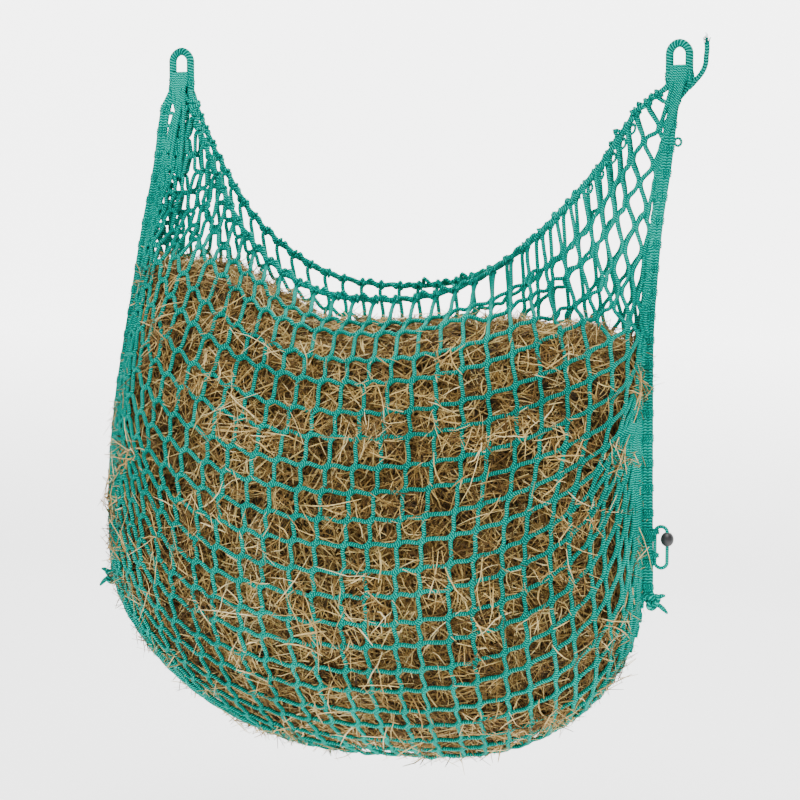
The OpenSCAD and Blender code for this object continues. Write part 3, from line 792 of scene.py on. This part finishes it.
def makeHayTree():
    tree, enter, leave = treeWith("scatterStalks", [
        ("Surface", "NodeSocketGeometry"), ("Density", "NodeSocketFloat"), ("Seed", "NodeSocketInt"),
        ("Tilt", "NodeSocketFloat"), ("Lowest", "NodeSocketFloat"), ("Highest", "NodeSocketFloat"),
        ("Darkest", "NodeSocketFloat"), ("Palest", "NodeSocketFloat"), ("Finish", "NodeSocketMaterial")])
    w = Wire(tree)
    given = {socket.name: Wire(tree, socket) for socket in enter.outputs if socket.name}
    scatter = {"Mesh": given["Surface"], "Density": given["Density"], "Seed": given["Seed"]}
    points = w.node("GeometryNodeDistributePointsOnFaces", {}, scatter, "Points")
    source = points.socket.node
    normal, facing = Wire(tree, source.outputs["Normal"]), Wire(tree, source.outputs["Rotation"])
    chance = lambda low, high, extra: w.node("FunctionNodeRandomValue", {"data_type": "FLOAT"},
                                             {2: low, 3: high, "Seed": given["Seed"] + float(extra)}, 1)
    lift = w.node("ShaderNodeVectorMath", {"operation": "SCALE"},
                  {0: normal, "Scale": chance(given["Lowest"], given["Highest"], 1)})
    points = w.node("GeometryNodeSetPosition", {}, {"Geometry": points, "Offset": lift})
    tilt = given["Tilt"]
    euler = w.node("ShaderNodeCombineXYZ", {}, {"X": chance(-0.5, 0.5, 2), "Y": chance(0.0 - tilt, tilt, 3),
                                                "Z": chance(-math.pi, math.pi, 4)})
    yaw = w.node("ShaderNodeSeparateXYZ", {}, {"Vector": euler}, "Z")
    spin = w.node("FunctionNodeRotateRotation", {"rotation_space": "LOCAL"}, {
        "Rotation": facing, "Rotate By": w.node("FunctionNodeEulerToRotation", {}, {
            "Euler": w.node("ShaderNodeCombineXYZ", {}, {"Z": yaw})})})
    lean = w.node("FunctionNodeEulerToRotation", {}, {"Euler": w.node("ShaderNodeCombineXYZ", {}, {
        "X": w.node("ShaderNodeSeparateXYZ", {}, {"Vector": euler}, "X"),
        "Y": w.node("ShaderNodeSeparateXYZ", {}, {"Vector": euler}, "Y")})})
    spin = w.node("FunctionNodeRotateRotation", {"rotation_space": "LOCAL"}, {"Rotation": spin, "Rotate By": lean})
    kinds = w.node("GeometryNodeCollectionInfo", {}, {"Collection": stalks, "Separate Children": True,
                                                      "Reset Children": True})
    placed = w.node("GeometryNodeInstanceOnPoints", {}, {
        "Points": points, "Instance": kinds, "Pick Instance": True, "Rotation": spin,
        "Scale": w.node("ShaderNodeCombineXYZ", {}, {"X": chance(0.55, 1.15, 5), "Y": chance(0.7, 1.4, 6),
                                                     "Z": chance(0.7, 1.4, 7)})})
    toned = w.node("GeometryNodeStoreNamedAttribute", {"data_type": "FLOAT", "domain": "INSTANCE"},
                   {"Geometry": placed, "Name": "tone", "Value": chance(given["Darkest"], given["Palest"], 8)})
    closeTree(tree, leave, toned, given["Finish"])
    return tree


core = hayCore()
hayTree = makeHayTree()
area = sum(face.area for face in core.data.polygons)
print("hay core:", len(core.data.polygons), "faces,", round(area, 3), "m2")
share = 1.0


def hayLayer(name, count, values):
    layer = bpy.data.objects.new(name, core.data.copy())
    scene.collection.objects.link(layer)
    return runTree(layer, hayTree, {"Density": count * share / area, "Finish": strawFinish, **values})


layers = [core]
for k in range(4):
    layers.append(hayLayer(f"hayStalks{k}", hay["stalks"] / 4, {"Seed": hay["seed"] + k, "Tilt": 0.28,
                  "Lowest": 0.000, "Highest": 0.0075, "Darkest": 0.05, "Palest": 1.05}))
# The sunk stalks get only the darker tones: painted shade between the outer stalks.
for k in range(2):
    layers.append(hayLayer(f"hayDeep{k}", hay["deep"] / 2, {"Seed": hay["seed"] + 10 + k, "Tilt": 0.35,
                  "Lowest": -0.004, "Highest": 0.003, "Darkest": 0.0, "Palest": 0.6}))
layers.append(hayLayer("hayLoose", hay["loose"], {"Seed": hay["seed"] + 20, "Tilt": 0.35,
              "Lowest": 0.009, "Highest": 0.0125, "Darkest": 0.7, "Palest": 1.1}))
print("hay laid:", sum(len(o.data.polygons) for o in layers), "faces")

# ---- stopper ----


def stopperRecipe(w):
    scuff = w.grain(320.0, 4.0, 0.65)
    wear = w.grain(45.0, 3.0)
    colour = (scuff * 0.6 + wear * 0.4).ramp([(0.3, (0.008, 0.008, 0.009)), (0.8, (0.035, 0.035, 0.038))])
    return {"Base Color": colour, "Roughness": 0.32 + wear * 0.3, "Normal": scuff.bump(0.0003)}


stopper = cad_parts["stopper"]
stopper.data.materials.clear()
stopper.data.materials.append(newMaterial("stopperPlastic", stopperRecipe))

# ---- what each piece rides on, and the solid parts that are hidden ----
for name, piece, cord in (("Left", netMouthLeft, cords["frontLeft"]), ("Right", netMouthRight, cords["frontRight"])):
    for part in (piece, cord):
        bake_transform(part)
for piece in (netBelly, netBackUpper, netBackLower, cords["back"], *eyeStrands.values()):
    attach(piece, "net")
for piece in layers:
    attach(piece, "net")
for name, piece in ropes.items():
    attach(piece, "net")
    "sealed_end" if name == "tuft" else "border"
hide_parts("hay_load")
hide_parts("net_front_belly")
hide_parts("net_front_wing_left", "net_front_lip")
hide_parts("net_front_wing_right")
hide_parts("mouth_cord_front_left", "mouth_cord_front_lip")
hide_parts("mouth_cord_front_right")
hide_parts("net_back_wing_left", "net_back_wing_right", "net_back_lip")
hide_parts("net_back_belly")
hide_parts("mouth_cord_back")
for name, node in (("borderLeft", "border_rope_left"), ("borderRight", "border_rope_right"),
                   ("eyeLeft", "hanging_eye_left"), ("eyeRight", "hanging_eye_right"),
                   ("whippingLeft", "whipping_left"), ("whippingRight", "whipping_right"),
                   ("knotLeft", "corner_knot_left"), ("knotRight", "corner_knot_right"),
                   ("tuft", "sealed_rope_end"), ("seamLoop", "seam_loop_right"), ("stopperLoop", "stopper_loop")):
    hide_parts(node)

# share of the flat netting that its twine covers: the uprights, the two strands along each joint, and the rows
flatWide = barShare.sum() * net["bar"]
twineShare = net["twine"] * (net["columns"] * (net["rise"] + 4 * net["joint"]) + flatWide) / (flatWide * net["rise"])
print("twine covers", round(twineShare, 3), "of the flat net, which is", round(flatWide, 3), "m wide")
for piece, rows, part, held, rests, extra in (
        (netBelly, net["rows"] - hingeRow, 1, "stretched", [core], []),
        (netMouthLeft, hingeRow, 0.5, "hung", [cords["frontLeft"]], [eyeStrands[-1]]),
        (netMouthRight, hingeRow, 0.5, "hung", [cords["frontRight"]], [eyeStrands[1]]),
        (netBackUpper, net["backSplit"], 1, "hung", [cords["back"]], []),
        (netBackLower, net["rows"] - net["backSplit"], 1, "stretched", [core], [])):
    width, height = part * flatWide, rows * net["rise"]
    twineShare * width * height

# ---- floor and backdrop: one sheet that curves up ----
floorDrop = 1.05  # below the eyes


def floorRecipe(w):  # the backdrop glows, and the floor under the net hardly does
    z = w.node("ShaderNodeSeparateXYZ", {}, {"Vector": w.place()}, "Z")
    glow = (z + floorDrop).ramp([(0.0, (0.3, 0.3, 0.3)), (0.5, (1.0, 1.0, 1.0))])
    return {"Base Color": (0.92, 0.92, 0.92, 1), "Roughness": 0.9,
            "Emission Color": glow, "Emission Strength": shot["backdrop"]}


side = np.linspace(-6, 6, 2)
sweepUp = [(-7, 0)] + [(y, 0) for y in (0, 2)] + [(2 + 1.5 * math.sin(a), 1.5 - 1.5 * math.cos(a)) for a in
           np.linspace(0.1, math.pi / 2, 16)] + [(3.5, 8)]
verts = [(x, y, z - floorDrop) for y, z in sweepUp for x in side]
quads = [(2 * k, 2 * k + 1, 2 * k + 3, 2 * k + 2) for k in range(len(sweepUp) - 1)]
floorMesh = bpy.data.meshes.new("floor")
floorMesh.from_pydata(verts, [], quads)
for face in floorMesh.polygons:
    face.use_smooth = True
floor = bpy.data.objects.new("floor", floorMesh)
scene.collection.objects.link(floor)
floorMesh.materials.append(newMaterial("paleFloor", floorRecipe))
world = bpy.data.worlds.new("studio")
world.use_nodes = True
world.node_tree.nodes["Background"].inputs["Color"].default_value = (1, 1, 1, 1)
world.node_tree.nodes["Background"].inputs["Strength"].default_value = shot["world"]
scene.world = world

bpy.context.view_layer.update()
meshes = [o for o in scene.objects if o.type == "MESH"]
counts = sorted(((sum(len(f.vertices) - 2 for f in o.data.polygons), o.name) for o in meshes), reverse=True)
print("triangles:", sum(c for c, _ in counts), "the most in", counts[:4])
